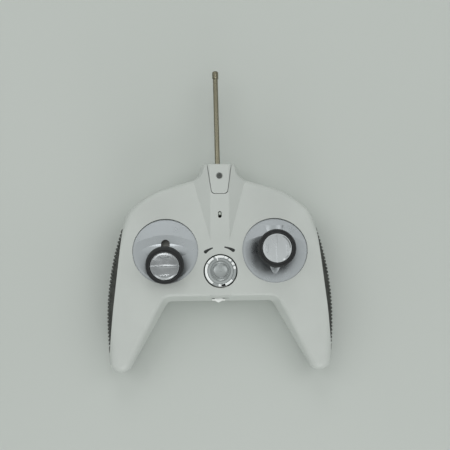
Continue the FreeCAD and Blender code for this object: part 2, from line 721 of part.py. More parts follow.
# ---------------------------------------------------------------- sticks and knobs
def at_pivot(thing, x, tilt):
    """Carry a thing built about the pivot to its place, leaning towards the grips."""
    rotation = FreeCAD.Rotation(V(1, 0, 0), tilt)
    return place(thing, x, "stick_y", "pivot_z", rotation)


def make_stick(side, x, along, outward, tilt):
    stem = turned(side + "_stem", [("0", "0.5"), ("stem_radius + 0.6", "0.5"),
                                   ("stem_radius", "10"), ("stem_radius", "knob_floor - 3"),
                                   ("stem_radius + 1.4", "knob_floor - 0.6"),
                                   ("cap_radius - 2.4", "knob_floor + 0.2"),
                                   ("cap_radius - 2.4", "plate_top"), ("0", "plate_top")])
    start = {"X": ("-hub_half", "0"), "Y": ("0", "-hub_half")}[along]
    hub = cylinder(side + "_hub", "hub_radius", "2 * hub_half", start[0], start[1], "0", along)
    reach = {"X": "frame_half_x", "Y": "frame_half_y"}[along]
    start = "-%s - pot_depth + 0.6" % reach if outward < 0 or along == "Y" else "-" + reach
    start = {"X": (start, "0"), "Y": ("0", start)}[along]
    axle = cylinder(side + "_axle", "axle_radius", "2 * %s + pot_depth - 0.6" % reach, start[0],
                    start[1], "0", along)
    subpart(at_pivot(fuse(side + "_stick_solid", stem, hub, axle), x, tilt), side + "_stick")
    ring = turned(side + "_ring", [("cap_radius - 2.2", "knob_floor"),
                                   ("knob_radius - 1.2", "knob_floor"),
                                   ("knob_radius", "knob_floor + 1.1"),
                                   ("knob_radius", "knob_top - 1.3"),
                                   ("knob_radius - 0.5", "knob_top - 0.3"),
                                   ("knob_radius - 1.2", "knob_top"),
                                   ("knob_radius - 1.5", "knob_top - 0.4"),
                                   ("knob_radius - 1.9", "knob_top - 0.4"),
                                   ("knob_radius - 2.2", "knob_top"),
                                   ("cap_radius + 0.1", "knob_top"),
                                   ("cap_radius + 0.1", "plate_top"),
                                   ("cap_radius - 2.2", "plate_top")])
    subpart(at_pivot(ring, x, tilt), side + "_knob_ring")
    cap = turned(side + "_cap_disc", [("0", "plate_top"), ("cap_radius", "plate_top"),
                                      ("cap_radius", "knob_top - 0.8"),
                                      ("cap_radius - 0.4", "knob_top - 0.4"),
                                      ("cap_radius - 1.3", "knob_top - 0.4"),
                                      ("cap_radius - 1.6", "knob_top - 0.8"),
                                      ("0", "knob_top - 0.8")])
    half = {"X": ("cap_radius - 1.5", "0.3"), "Y": ("0.3", "cap_radius - 1.5")}[along]
    groove = box(side + "_cap_line", half[0], half[1], "knob_top - 1.3", "knob_top + 1")
    subpart(at_pivot(cut(side + "_cap", cap, groove), x, tilt), side + "_knob_cap")


# ---------------------------------------------------------------- gimbal frames, pots and springs
def make_gimbal(side, x, along, sign):
    blank = box(side + "_frame_outside", "frame_half_x", "frame_half_y", "frame_floor", "frame_top", x,
                "stick_y")
    flange = box(side + "_frame_flange", "flange_half_x", "flange_half_y",
                 "frame_top - flange_thick", "frame_top", x, "stick_y")
    inside = box(side + "_frame_inside", "frame_half_x - frame_wall", "frame_half_y - frame_wall",
                 "frame_floor - 1", "frame_top + 1", x, "stick_y")
    start = {"X": ("%s - 20" % x, "stick_y"), "Y": (x, "stick_y - 20")}[along]
    bearing = cylinder(side + "_bearing", "bearing_radius", "40", start[0], start[1], "pivot_z", along)
    holes = cylinders(side + "_frame_hole", gimbal_posts(x), "pilot_radius", "frame_top - 4",
                      "frame_top + 1")
    subpart(cut(side + "_frame", fuse(side + "_frame_solid", blank, flange), inside, bearing, *holes),
            side + "_gimbal_frame")
    if along == "X":
        middle = ("%s + %d * (frame_half_x + pot_depth / 2)" % (x, sign), "stick_y")
        halves = ("pot_depth / 2", "pot_width / 2")
    else:
        middle = (x, "stick_y - frame_half_y - pot_depth / 2")
        halves = ("pot_width / 2", "pot_depth / 2")
    case = box(side + "_pot_case", halves[0], halves[1], "pivot_z - pot_height / 2",
               "frame_top - flange_thick", *middle)
    bore = cylinder(side + "_pot_bore", "bearing_radius", "80",
                    {"X": "%s - 40" % x, "Y": x}[along],
                    {"X": "stick_y", "Y": "stick_y - 40"}[along], "pivot_z", along)
    subpart(cut(side + "_pot", case, bore), side + "_stick_pot")


def make_springs():
    """The friction leaf beside the left hub and the centring coil round the right axle."""
    leaf = box("leaf_blade", "8", "0.2", "frame_floor + 1.5", "pivot_z + 2.5", "-stick_x",
               "stick_y + hub_radius + 0.55")
    foot = box("leaf_foot", "8", "4.725", "frame_floor + 1.5", "frame_floor + 1.9", "-stick_x",
               "stick_y + frame_half_y - frame_wall - 4.725")
    subpart(fuse("leaf_spring", leaf, foot), "left_friction_spring")
    wire = 0.35
    pitch = 0.6
    radius = size("axle_radius") + 0.4 + wire
    turns = [Part.makeTorus(radius, wire, V(0, 0, wire + pitch * number)) for number in range(5)]
    last = wire + 4 * pitch
    leg = Part.makeCylinder(wire, 7.6, V(radius, 0, wire), V(0, -1, 0))
    other = Part.makeCylinder(wire, 7.6, V(radius, 0, last), V(0, 1, 0))
    spring = doc.addObject("Part::Feature", "centring_spring")
    spring.Shape = turns[0].fuse(turns[1:] + [leg, other])
    base = V(size("stick_x"), size("stick_y") + size("hub_half") + 0.5, size("pivot_z"))
    spring.Placement = FreeCAD.Placement(base, FreeCAD.Rotation(V(1, 0, 0), -90))
    subpart(spring, "right_centring_spring")


# ---------------------------------------------------------------- trim dial
def make_trim():
    ring = turned("dial_ring", [("dial_bore", "dial_floor"), ("dial_radius", "dial_floor"),
                                ("dial_radius", "dial_top - 0.9"),
                                ("dial_radius - 0.9", "dial_top"),
                                ("dial_bore + 2.2", "dial_top"), ("dial_bore + 1.9", "dial_top - 0.7"),
                                ("dial_bore + 1.6", "dial_top"), ("dial_bore + 0.4", "dial_top"),
                                ("dial_bore", "dial_top - 0.5")])
    bind(ring, "Placement.Base.y", "dial_y")
    notches = []
    for number in range(int(size("notch_count"))):
        bar = box("notch_%d" % number, "2.4", "0.25", "dial_top - 0.5", "dial_top + 1",
                  "dial_radius + 0.1")
        bar.Placement = FreeCAD.Placement()
        bar.setExpression("Placement.Base.x", None)
        bar.setExpression("Placement.Base.y", None)
        bar.setExpression("Placement.Base.z", None)
        angle = 360 * number / size("notch_count") + 15
        turn = FreeCAD.Rotation(V(0, 0, 1), angle)
        offset = V(size("dial_radius") - 2.1, -0.25, 0)
        base = V(0, size("dial_y"), size("dial_top") - 0.5) + turn.multVec(offset)
        bar.Placement = FreeCAD.Placement(base, turn)
        notches.append(bar)
    subpart(cut("dial", ring, *notches), "trim_dial")
    cap = turned("dial_cap", [("0", "dial_floor + 1"), ("dial_bore - 0.02", "dial_floor + 1"),
                              ("dial_bore - 0.02", "dial_top - 0.7"),
                              ("dial_bore - 0.5", "dial_top - 0.3"), ("0", "dial_top + 0.5")])
    bind(cap, "Placement.Base.y", "dial_y")
    socket = cylinder("dial_socket", "trim_shaft_radius", "2.5", y="dial_y", z="dial_floor + 0.5")
    subpart(cut("dial_button", cap, socket), "trim_dial_cap")
    shaft = cylinder("trim_shaft", "trim_shaft_radius", "6", y="dial_y", z="dial_floor - 3")
    subpart(shaft, "trim_pot_shaft")
    case = box("trim_case", "5", "5.5", "board_z + board_thick", "dial_floor - 0.6", y="dial_y")
    bore = cylinder("trim_bore", "trim_shaft_radius + 0.05", "30", y="dial_y", z="dial_floor - 3")
    subpart(cut("trim_pot", case, bore), "trim_pot_body")


# ---------------------------------------------------------------- light, power slide
def make_light():
    lens = turned("light_lens", [("0", "board_z + board_thick + 2"),
                                 ("light_radius", "board_z + board_thick + 2"),
                                 ("light_radius", "face - 0.9"),
                                 ("light_radius - 0.4", "face - 0.4"), ("0", "face - 0.1")])
    bind(lens, "Placement.Base.y", "light_y")
    subpart(lens, "light_lens")


def make_power_slide():
    """A button that runs across the lower wall, with its slide inside a metal case."""
    wall_y = "crotch_corner_y + (switch_z - parting) * tan(front_draft * 1 deg)"
    rest = "switch_x"
    pad = box("button_pad", "switch_width / 2", "switch_pad / 2", "switch_z - switch_height / 2",
              "switch_z + switch_height / 2", rest, "%s - 0.7 - switch_pad / 2" % wall_y)
    neck = box("button_neck", "3", "2.75", "switch_z - 0.8", "switch_z + 0.8", rest,
               "%s + 2.0" % wall_y)
    tip = padded("button_ridge", [("0", "0"), ("switch_ridge_width", "0"),
                                  ("switch_ridge_width / 2", "switch_proud")], "switch_height")
    place(tip, "switch_x - switch_ridge_width / 2", "%s - 0.6 - switch_pad" % wall_y,
          "switch_z + switch_height / 2", FreeCAD.Rotation(V(1, 0, 0), 180))
    subpart(fuse("power_button", pad, neck, tip), "power_switch_button")
    case = box("switch_case_block", "6.5", "3", "switch_z - 3.2", "switch_z + 3.2",
               "switch_x + switch_travel / 2", "%s + 6.0" % wall_y)
    channel = box("switch_channel", "5", "2", "switch_z - 1.1", "switch_z + 1.1",
                  "switch_x + switch_travel / 2", "%s + 4.0" % wall_y)
    subpart(cut("switch_case", case, channel), "power_switch_body")


# ---------------------------------------------------------------- antenna
def make_antenna():
    """Three tubes and a solid rod that slide in each other, all pushed in."""
    outer = "antenna_radius"
    count = 3
    names = ["antenna_base_tube", "antenna_second_tube", "antenna_third_tube"]
    for number in range(count):
        radius = "antenna_radius - %d * (antenna_wall + antenna_play)" % number
        start = 1.5 * number
        tube = antenna_rod(names[number] + "_solid", radius, "antenna_length - %g" % start, start)
        bore = antenna_rod(names[number] + "_bore", "%s - antenna_wall" % radius,
                           "antenna_length + 4", start + (1 if number == 0 else -2))
        subpart(cut(names[number] + "_cut", tube, bore), names[number])
    inner = "antenna_radius - %d * (antenna_wall + antenna_play)" % count
    rod = antenna_rod("rod_solid", inner, "antenna_length - 4", 4.5)
    subpart(rod, "antenna_rod")
    tip = turned("tip_cap", [("0", "0"), ("tip_radius - 0.5", "0"), ("tip_radius", "0.5"),
                             ("tip_radius", "1.6"), ("tip_radius - 0.3", "1.9"),
                             ("tip_radius - 0.3", "2.3"), ("tip_radius", "2.6"),
                             ("tip_radius", "tip_length - 0.7"),
                             ("tip_radius - 0.6", "tip_length"), ("0", "tip_length")])
    on_antenna(tip, size("antenna_length") + 0.5)
    subpart(tip, "antenna_tip")
    block = box("socket_block", "socket_half_x", "socket_half_y", "socket_floor", "cover_floor",
                y="socket_y")
    bore = antenna_rod("socket_bore", "antenna_radius", "30", 0)
    pilots = [cylinder("socket_top_pilot", "small_screw_radius", "4", y="socket_y",
                       z="cover_floor - 1.6"),
              cylinder("socket_low_pilot", "screw_radius", "6", y="socket_y",
                       z="screw_seat + screw_length - 5.8")]
    subpart(cut("socket", block, bore, *pilots), "antenna_socket")


# ---------------------------------------------------------------- batteries, contacts and door
def make_power():
    cells = []
    contacts = []
    springs = []
    for number in range(4):
        way = 1 if number % 2 == 0 else -1
        y = "bay_y + %g * cell_pitch" % (number - 1.5)
        cell = cylinder("cell_%d" % number, "cell_radius", "cell_length - 1.2",
                        "-cell_length / 2 + %g" % (0 if way == 1 else 1.2), y, "cell_z", "X")
        nose = cylinder("cell_nose_%d" % number, "2.7", "1.2",
                        "cell_length / 2 - 1.2" if way == 1 else "-cell_length / 2", y, "cell_z", "X")
        cells.append(fuse("cell_whole_%d" % number, cell, nose))
        spot = "%d * (bay_half_x - 0.15)" % way
        plate = box("plate_%d" % number, "0.15", "4.5", "cell_z - 4.5", "cell_z + 4.5", spot, y)
        start = "bay_half_x - 1.4" if way == 1 else "-bay_half_x + 0.1"
        bump = cylinder("plate_bump_%d" % number, "2", "1.3", start, y, "cell_z", "X")
        contacts.append(fuse("plate_contact_%d" % number, plate, bump))
        spot = "%d * (bay_half_x - 0.15)" % -way
        springs.append(box("spring_plate_%d" % number, "0.15", "4.5", "cell_z - 4.5", "cell_z + 4.5",
                           spot, y))
        start = "-bay_half_x + 0.2" if way == 1 else "bay_half_x - 0.2 - 1.2"
        springs.append(cylinder("spring_coil_%d" % number, "3", "1.2", start, y, "cell_z", "X"))
    subpart(compound("cells", *cells), "battery_cells")
    subpart(compound("plates", *contacts), "battery_plate_contacts")
    pairs = [fuse("spring_contact_%d" % number, springs[2 * number], springs[2 * number + 1])
             for number in range(4)]
    subpart(compound("spring_contacts", *pairs), "battery_spring_contacts")


def make_battery_door():
    """A flat lid whose upper edge is round about its hinge, with a pin at each end."""
    half_x = "door_half_x - door_gap"
    half_y = "door_half_y - door_gap - door_thick / 4"
    sheet_only = box("door_plate", half_x, half_y, "0", "door_thick", y="bay_y - door_thick / 4")
    edge = cylinder("door_edge", "door_thick / 2", "2 * (%s)" % half_x, "-(%s)" % half_x, HINGE_Y,
                    "door_thick / 2", "X")
    reach = "door_half_x + hinge_pin_reach"
    pin = cylinder("door_pin", "hinge_pin_radius", "2 * (%s)" % reach, "-(%s)" % reach, HINGE_Y,
                   "door_thick / 2", "X")
    plate = fuse("door_solid", sheet_only, edge, pin)
    ribs = [box("door_rib_%d" % number, "%s - 4" % half_x, "0.5", "-0.1", "0.5",
                y="bay_y + %d" % (8 + 3 * number)) for number in range(5)]
    subpart(cut("door", plate, *ribs), "battery_door")


# ---------------------------------------------------------------- circuit board and leads
def make_board():
    board = box("board_plate", "board_half_x", "board_half_y", "board_z", "board_z + board_thick",
                y="board_y")
    holes = cylinders("board_hole", BOARD_POSTS, "pilot_radius", "board_z - 1",
                      "board_z + board_thick + 1")
    subpart(cut("board", board, *holes), "main_circuit_board")
    top = "board_z + board_thick"
    parts = [box("encoder_chip", "3", "5", top, top + " + 1.6", "0", "board_y - 2"),
             box("radio_chip", "2.5", "3.5", top, top + " + 1.4", "-8", "board_y + 8"),
             box("crystal", "5.5", "2.3", top, top + " + 3.5", "8", "board_y + 12"),
             cylinder("large_capacitor", "2.5", "7", "9", "board_y - 6", top),
             cylinder("small_capacitor", "2", "5", "-10", "board_y - 8", top)]
    subpart(compound("components", *parts), "board_components")
    base = box("light_base", "2.2", "2.2", top, top + " + 2", y="light_y")
    subpart(base, "light_base")


def bent_wire(name, corners, radius):
    """A round wire along straight runs joined by arcs."""
    points = [V(*corner) for corner in corners]
    edges = []
    last = points[0]
    for number in range(1, len(points) - 1):
        before = (points[number - 1] - points[number])
        after = (points[number + 1] - points[number])
        half = before.getAngle(after) / 2
        reach = 0.45 * min(before.Length, after.Length)
        bend = reach * math.tan(half)
        before.normalize()
        after.normalize()
        start = points[number] + before * reach
        end = points[number] + after * reach
        middle = points[number] + (before + after).normalize() * (bend / math.sin(half) - bend)
        edges.append(Part.LineSegment(last, start).toShape())
        edges.append(Part.Arc(start, middle, end).toShape())
        last = end
    edges.append(Part.LineSegment(last, points[-1]).toShape())
    path = Part.Wire(edges)
    section = Part.Wire(Part.makeCircle(radius, points[0], points[1] - points[0]))
    feature = doc.addObject("Part::Feature", name)
    feature.Shape = path.makePipeShell([section], True, True)
    return feature


def make_leads():
    """The leads from the battery bay and from the antenna socket to the board."""
    edge = size("bay_half_x") - 8
    top = size("bay_top") + size("bay_wall")
    under = size("board_z")
    leads = []
    for number, across in enumerate((-2.2, 0.0)):
        y = 6.3 + across
        route = [(edge + across, y, top), (edge + across, y, top + 1.8), (edge - 5.6 + across, y, top + 1.8),
                 (edge - 5.6 + across, y, under)]
        leads.append(bent_wire("battery_lead_%d" % number, route, 0.6))
    subpart(compound("battery_lead_pair", *leads), "battery_leads")
    route = [(-3.0, 29.4, 25.0), (-3.0, 25.5, 25.0), (-5.0, 21.5, 25.6), (-6.0, 18.0, 24.6)]
    subpart(bent_wire("antenna_wire", route, 0.5), "antenna_lead")


# ---------------------------------------------------------------- the whole transmitter
make_front_shell()
make_rear_shell()
make_antenna_cover()
make_screws()
for stick, along, tilt in (("left", "X", size("stick_tilt")), ("right", "Y", 0)):
    stick_place, outward = STICKS[stick]
    make_dish(stick, stick_place, along)
    make_stick(stick, stick_place, along, outward, tilt)
    make_gimbal(stick, stick_place, along, outward)
make_springs()
make_trim()
make_light()
make_power_slide()
make_antenna()
make_power()
make_battery_door()
make_board()
make_leads()
doc.recompute()

failed = [thing.Name for thing in doc.Objects if {"Invalid", "Error"} & set(thing.State)]
if failed:
    raise RuntimeError("failed objects: %s" % ", ".join(failed))
os.makedirs("parts", exist_ok=True)
for thing in SUBPARTS:
    shape = thing.Shape.copy()
    shape.translate(V(0, -size("middle_y"), 0))
    if shape.isNull() or not shape.isValid() or not shape.Solids:
        raise RuntimeError("bad shape: " + thing.Label)
    shape.exportStep("parts/%s.step" % thing.Label)
print("%d sub-parts" % len(SUBPARTS))
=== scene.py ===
"""Looks of a hand-held radio transmitter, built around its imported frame.

The housing, grips and most moving pieces are the frame's own nodes in better materials. Each new
piece is modelled here, in metres, in the frame's own axes: X across, Y to the antenna, Z up.
"""

import json
import logging
import math
from dataclasses import dataclass, field
from enum import Enum
from typing import Optional

import bpy
from mathutils import Matrix, Vector


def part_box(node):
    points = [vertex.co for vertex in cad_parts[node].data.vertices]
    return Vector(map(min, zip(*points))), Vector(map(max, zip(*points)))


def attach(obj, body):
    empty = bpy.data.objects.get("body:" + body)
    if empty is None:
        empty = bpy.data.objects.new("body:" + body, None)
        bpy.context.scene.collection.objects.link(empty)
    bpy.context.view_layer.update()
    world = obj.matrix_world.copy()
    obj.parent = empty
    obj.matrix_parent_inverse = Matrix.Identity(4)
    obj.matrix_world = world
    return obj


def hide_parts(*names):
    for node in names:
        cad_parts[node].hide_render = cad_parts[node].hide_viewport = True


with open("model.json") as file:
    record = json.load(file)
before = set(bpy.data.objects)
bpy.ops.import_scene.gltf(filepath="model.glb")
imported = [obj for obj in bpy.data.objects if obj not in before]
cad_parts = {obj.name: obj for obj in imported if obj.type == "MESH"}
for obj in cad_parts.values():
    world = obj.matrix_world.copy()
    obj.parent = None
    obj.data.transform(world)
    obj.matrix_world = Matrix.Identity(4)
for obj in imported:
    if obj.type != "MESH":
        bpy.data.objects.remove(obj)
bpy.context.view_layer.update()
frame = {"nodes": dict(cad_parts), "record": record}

LOG = logging.getLogger("transmitter")
MM = 0.001


# ------------------------------------------------------------------ colours and nodes
def linear(hex_code: str) -> tuple[float, float, float, float]:
    """Turn an sRGB hex value to linear colour.

    Args:
        hex_code: six hex digits, such as "B9C0BB".

    Returns:
        Linear red, green, blue and an alpha of 1.
    """
    channels = []
    for start in (0, 2, 4):
        value = int(hex_code[start:start + 2], 16) / 255
        channels.append(value / 12.92 if value <= 0.04045 else ((value + 0.055) / 1.055) ** 2.4)
    return channels[0], channels[1], channels[2], 1.0


def add_node(tree: bpy.types.NodeTree, kind: str, settings: Optional[dict] = None,
             links: Optional[dict] = None) -> bpy.types.Node:
    """Add one node to a material's tree.

    Args:
        tree: the node tree.
        kind: the node's type name without its ShaderNode prefix.
        settings: attribute names, or input names and numbers, with their values.
        links: input names or numbers, each with the output socket that feeds it.

    Returns:
        The new node.
    """
    node = tree.nodes.new("ShaderNode" + kind)
    for name, value in (settings or {}).items():
        if isinstance(name, str) and hasattr(node, name):
            setattr(node, name, value)
        else:
            node.inputs[name].default_value = value
    for name, source in (links or {}).items():
        tree.links.new(source, node.inputs[name])
    return node


def new_material(name: str) -> tuple[bpy.types.Material, bpy.types.NodeTree, bpy.types.Node]:
    """Make a material with only its output node.

    Args:
        name: the finish's name.

    Returns:
        The material, its tree and its output node.
    """
    material = bpy.data.materials.new(name)
    material.use_nodes = True
    tree = material.node_tree
    tree.nodes.clear()
    return material, tree, add_node(tree, "OutputMaterial")


# ------------------------------------------------------------------ finishes
@dataclass(frozen=True)
class MouldedPlastic:
    """Injection-moulded ABS or acetal with an eroded mould texture.

    The eye sees a soft, even sheen broken by a very fine grain, and a faint cloudiness of tone.
    """

    name: str
    colour: str
    roughness: float = 0.42
    grain_mm: float = 0.45
    grain_depth: float = 0.12
    mottle: float = 0.025
    specular: float = 0.5

    def build(self) -> bpy.types.Material:
        """Build the material.

        Returns:
            The finished material.
        """
        material, tree, output = new_material(self.name)
        where = add_node(tree, "TexCoord")
        cloud = add_node(tree, "TexNoise", {"Scale": 1 / (38 * MM), "Detail": 3.0, "Roughness": 0.6},
                         {"Vector": where.outputs["Object"]})
        grain = add_node(tree, "TexNoise", {"Scale": 1 / (self.grain_mm * MM), "Detail": 2.0},
                         {"Vector": where.outputs["Object"]})
        base = linear(self.colour)
        dark = tuple(channel * (1 - self.mottle * 2) for channel in base[:3]) + (1.0,)
        tone = add_node(tree, "ValToRGB", {}, {"Fac": cloud.outputs["Fac"]})
        tone.color_ramp.elements[0].position = 0.3
        tone.color_ramp.elements[0].color = dark
        tone.color_ramp.elements[1].position = 0.62
        tone.color_ramp.elements[1].color = base
        sheen = add_node(tree, "MapRange", {"From Min": 0.3, "From Max": 0.7,
                                            "To Min": self.roughness - 0.05,
                                            "To Max": self.roughness + 0.06},
                         {"Value": grain.outputs["Fac"]})
        bump = add_node(tree, "Bump", {"Strength": self.grain_depth, "Distance": 0.06 * MM},
                        {"Height": grain.outputs["Fac"]})
        shader = add_node(tree, "BsdfPrincipled", {"IOR": 1.5, "Specular IOR Level": self.specular},
                          {"Base Color": tone.outputs["Color"], "Roughness": sheen.outputs["Result"],
                           "Normal": bump.outputs["Normal"]})
        tree.links.new(shader.outputs["BSDF"], output.inputs["Surface"])
        return material


@dataclass(frozen=True)
class MetallisedPlastic:
    """Plastic with a satin aluminium coat: a soft metal gloss with faint flow and handling marks."""

    name: str
    colour: str
    roughness: float = 0.3
    grain_mm: float = 0.35
    anisotropy: float = 0.0

    def build(self) -> bpy.types.Material:
        """Build the material.

        Returns:
            The finished material.
        """
        material, tree, output = new_material(self.name)
        where = add_node(tree, "TexCoord")
        haze = add_node(tree, "TexNoise", {"Scale": 1 / (9 * MM), "Detail": 4.0},
                        {"Vector": where.outputs["Object"]})
        flake = add_node(tree, "TexNoise", {"Scale": 1 / (self.grain_mm * MM), "Detail": 1.0},
                         {"Vector": where.outputs["Object"]})
        gloss = add_node(tree, "MapRange", {"From Min": 0.35, "From Max": 0.65,
                                            "To Min": self.roughness - 0.04,
                                            "To Max": self.roughness + 0.05},
                         {"Value": haze.outputs["Fac"]})
        bump = add_node(tree, "Bump", {"Strength": 0.03, "Distance": 0.04 * MM},
                        {"Height": flake.outputs["Fac"]})
        shader = add_node(tree, "BsdfPrincipled",
                          {"Base Color": linear(self.colour), "Metallic": 1.0,
                           "Anisotropic": self.anisotropy},
                          {"Roughness": gloss.outputs["Result"], "Normal": bump.outputs["Normal"]})
        tree.links.new(shader.outputs["BSDF"], output.inputs["Surface"])
        return material


@dataclass(frozen=True)
class SoftRubber:
    """Moulded rubber: near black, matt, with a fine tooth and a little pale dust on it."""

    name: str
    colour: str = "2C2E2C"
    dust: str = "5A5D58"
    roughness: float = 0.62
    dust_amount: float = 0.35

    def build(self) -> bpy.types.Material:
        """Build the material.

        Returns:
            The finished material.
        """
        material, tree, output = new_material(self.name)
        where = add_node(tree, "TexCoord")
        patch = add_node(tree, "TexNoise", {"Scale": 1 / (6 * MM), "Detail": 5.0, "Roughness": 0.65},
                         {"Vector": where.outputs["Object"]})
        tooth = add_node(tree, "TexNoise", {"Scale": 1 / (0.3 * MM), "Detail": 2.0},
                         {"Vector": where.outputs["Object"]})
        tone = add_node(tree, "ValToRGB", {}, {"Fac": patch.outputs["Fac"]})
        tone.color_ramp.elements[0].position = 1 - self.dust_amount - 0.25
        tone.color_ramp.elements[0].color = linear(self.colour)
        tone.color_ramp.elements[1].position = 1.0
        tone.color_ramp.elements[1].color = linear(self.dust)
        bump = add_node(tree, "Bump", {"Strength": 0.25, "Distance": 0.05 * MM},
                        {"Height": tooth.outputs["Fac"]})
        shader = add_node(tree, "BsdfPrincipled", {"Roughness": self.roughness, "IOR": 1.5,
                                                   "Specular IOR Level": 0.4},
                          {"Base Color": tone.outputs["Color"], "Normal": bump.outputs["Normal"]})
        tree.links.new(shader.outputs["BSDF"], output.inputs["Surface"])
        return material


@dataclass(frozen=True)
class BareMetal:
    """Plated steel or nickelled tube: a clear metal gloss with drawing lines and dull patches."""

    name: str
    colour: str
    roughness: float = 0.22
    line_mm: float = 0.25
    stretch: tuple[float, float, float] = (1.0, 1.0, 1.0)

    def build(self) -> bpy.types.Material:
        """Build the material.

        Returns:
            The finished material.
        """
        material, tree, output = new_material(self.name)
        where = add_node(tree, "TexCoord")
        drawn = add_node(tree, "Mapping", {"Scale": self.stretch}, {"Vector": where.outputs["Object"]})
        lines = add_node(tree, "TexNoise", {"Scale": 1 / (self.line_mm * MM), "Detail": 2.0},
                         {"Vector": drawn.outputs["Vector"]})
        patch = add_node(tree, "TexNoise", {"Scale": 1 / (5 * MM), "Detail": 3.0},
                         {"Vector": where.outputs["Object"]})
        gloss = add_node(tree, "MapRange", {"From Min": 0.35, "From Max": 0.7,
                                            "To Min": self.roughness - 0.05,
                                            "To Max": self.roughness + 0.12},
                         {"Value": patch.outputs["Fac"]})
        bump = add_node(tree, "Bump", {"Strength": 0.05, "Distance": 0.02 * MM},
                        {"Height": lines.outputs["Fac"]})
        shader = add_node(tree, "BsdfPrincipled", {"Base Color": linear(self.colour), "Metallic": 1.0},
                          {"Roughness": gloss.outputs["Result"], "Normal": bump.outputs["Normal"]})
        tree.links.new(shader.outputs["BSDF"], output.inputs["Surface"])
        return material


@dataclass(frozen=True)
class PrintedInk:
    """Pad-printed ink: flat and dark, a little worn where the film is thin."""

    name: str
    colour: str

    def build(self) -> bpy.types.Material:
        """Build the material.

        Returns:
            The finished material.
        """
        material, tree, output = new_material(self.name)
        where = add_node(tree, "TexCoord")
        wear = add_node(tree, "TexNoise", {"Scale": 1 / (0.8 * MM), "Detail": 3.0},
                        {"Vector": where.outputs["Object"]})
        base = linear(self.colour)
        tone = add_node(tree, "ValToRGB", {}, {"Fac": wear.outputs["Fac"]})
        tone.color_ramp.elements[0].color = base
        tone.color_ramp.elements[1].color = tuple(min(1.0, channel * 1.7) for channel in base[:3]) + (1.0,)
        shader = add_node(tree, "BsdfPrincipled", {"Roughness": 0.5, "IOR": 1.45},
                          {"Base Color": tone.outputs["Color"]})
        tree.links.new(shader.outputs["BSDF"], output.inputs["Surface"])
        return material


@dataclass(frozen=True)
class ClearEpoxy:
    """Water-clear lamp epoxy with a faint milky body."""

    name: str
    colour: str = "E8F0E6"

    def build(self) -> bpy.types.Material:
        """Build the material.

        Returns:
            The finished material.
        """
        material, tree, output = new_material(self.name)
        where = add_node(tree, "TexCoord")
        milk = add_node(tree, "TexNoise", {"Scale": 1 / (1.2 * MM)}, {"Vector": where.outputs["Object"]})
        gloss = add_node(tree, "MapRange", {"To Min": 0.08, "To Max": 0.16},
                         {"Value": milk.outputs["Fac"]})
        shader = add_node(tree, "BsdfPrincipled", {"Base Color": linear(self.colour), "IOR": 1.55,
                                                   "Transmission Weight": 0.35},
                          {"Roughness": gloss.outputs["Result"]})
        tree.links.new(shader.outputs["BSDF"], output.inputs["Surface"])
        return material


class Finish(Enum):
    """The finishes that the transmitter uses."""

    HOUSING = MouldedPlastic("housing_abs", "C1C6C2", roughness=0.46)
    SWITCH = MouldedPlastic("switch_abs", "FAFCFA", roughness=0.3)
    BLACK_ACETAL = MouldedPlastic("black_acetal", "1A1B1B", roughness=0.35, mottle=0.05)
    GRIP = SoftRubber("grip_soft_rubber", "2B2D2A", "565953")
    RING = SoftRubber("ring_rubber", "222425", "4A4D4A", dust_amount=0.2)
    DISH = MetallisedPlastic("dish_satin_aluminium", "A5AAAD", roughness=0.3)
    CAP = MetallisedPlastic("cap_satin_aluminium", "B6BABC", roughness=0.24)
    # The trim dial is one aluminium part in two tones: the scale arcs and pointer are painted highlight, the
    # wheel is painted shade.
    DIAL = MetallisedPlastic("dial_aluminium_painted_highlight", "ECEFEF", roughness=0.3)
    DIAL_BODY = MetallisedPlastic("dial_aluminium_painted_shade", "9FA4A4", roughness=0.3)
    ANTENNA = BareMetal("drawn_nickel_tube", "807D6C", roughness=0.18, stretch=(1.0, 0.04, 1.0))
    STEEL = BareMetal("zinc_plated_steel", "B4B4B0", roughness=0.3)
    # Plain steel darkened with painted shade that stands in for the shade of the cover screw's deep recess.
    SCREW = BareMetal("steel_painted_recess_shade", "5E605E", roughness=0.36)
    INK = PrintedInk("printed_ink", "1B1E1D")
    LENS = ClearEpoxy("lamp_epoxy")
    BOARD = MouldedPlastic("board_solder_mask", "1D5A33", roughness=0.35)
    CELL = MouldedPlastic("cell_shrink_sleeve", "23262B", roughness=0.3)
    LEAD = MouldedPlastic("lead_pvc", "8C1F1C", roughness=0.4)

    def material(self) -> bpy.types.Material:
        """Give the finish's own material, built the first time that it is asked for.

        Returns:
            The material.
        """
        if self not in BUILT:
            BUILT[self] = self.value.build()
        return BUILT[self]


BUILT: dict[Finish, bpy.types.Material] = {}

